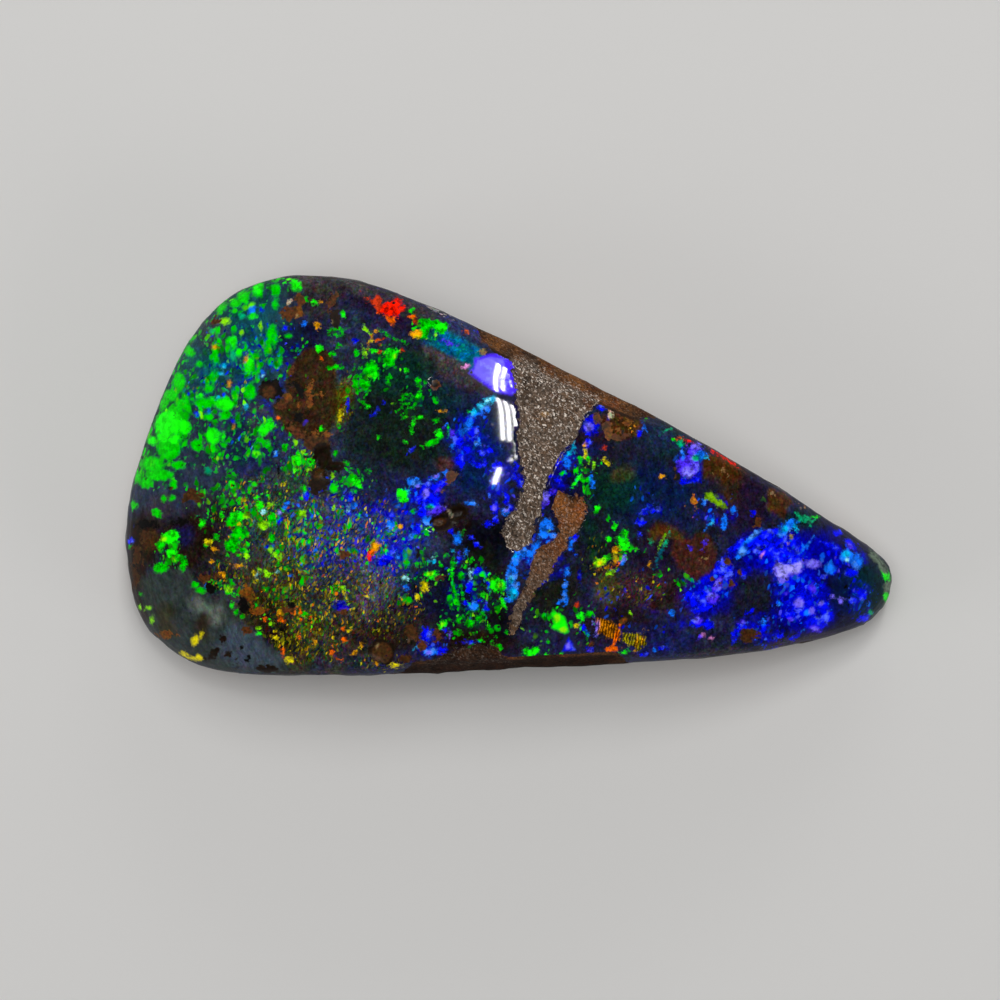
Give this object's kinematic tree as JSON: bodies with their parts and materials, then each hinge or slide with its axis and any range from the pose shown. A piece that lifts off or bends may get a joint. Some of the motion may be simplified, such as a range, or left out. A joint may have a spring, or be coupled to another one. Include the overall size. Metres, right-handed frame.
{
  "type": "boulder opal",
  "caption": "Polished freeform boulder opal, wedge-shaped, with a domed opal face, a vein of ironstone across it, and a rough ironstone side and flat ground back.",
  "frame": {"origin": "middle of the footprint's box, on the flat ground back that the stone rests on", "axes": "+X along the stone towards its pointed tip, +Y towards its straight upper side, +Z out of the polished face"},
  "size_m": [0.031, 0.016, 0.006],
  "materials": {
    "boulder_opal": "polished opal face with play of colour, rough brown ironstone sides and ground back"
  },
  "bodies": {
    "root": {"boulder_opal": "boulder_opal"}
  },
  "joints": []
}
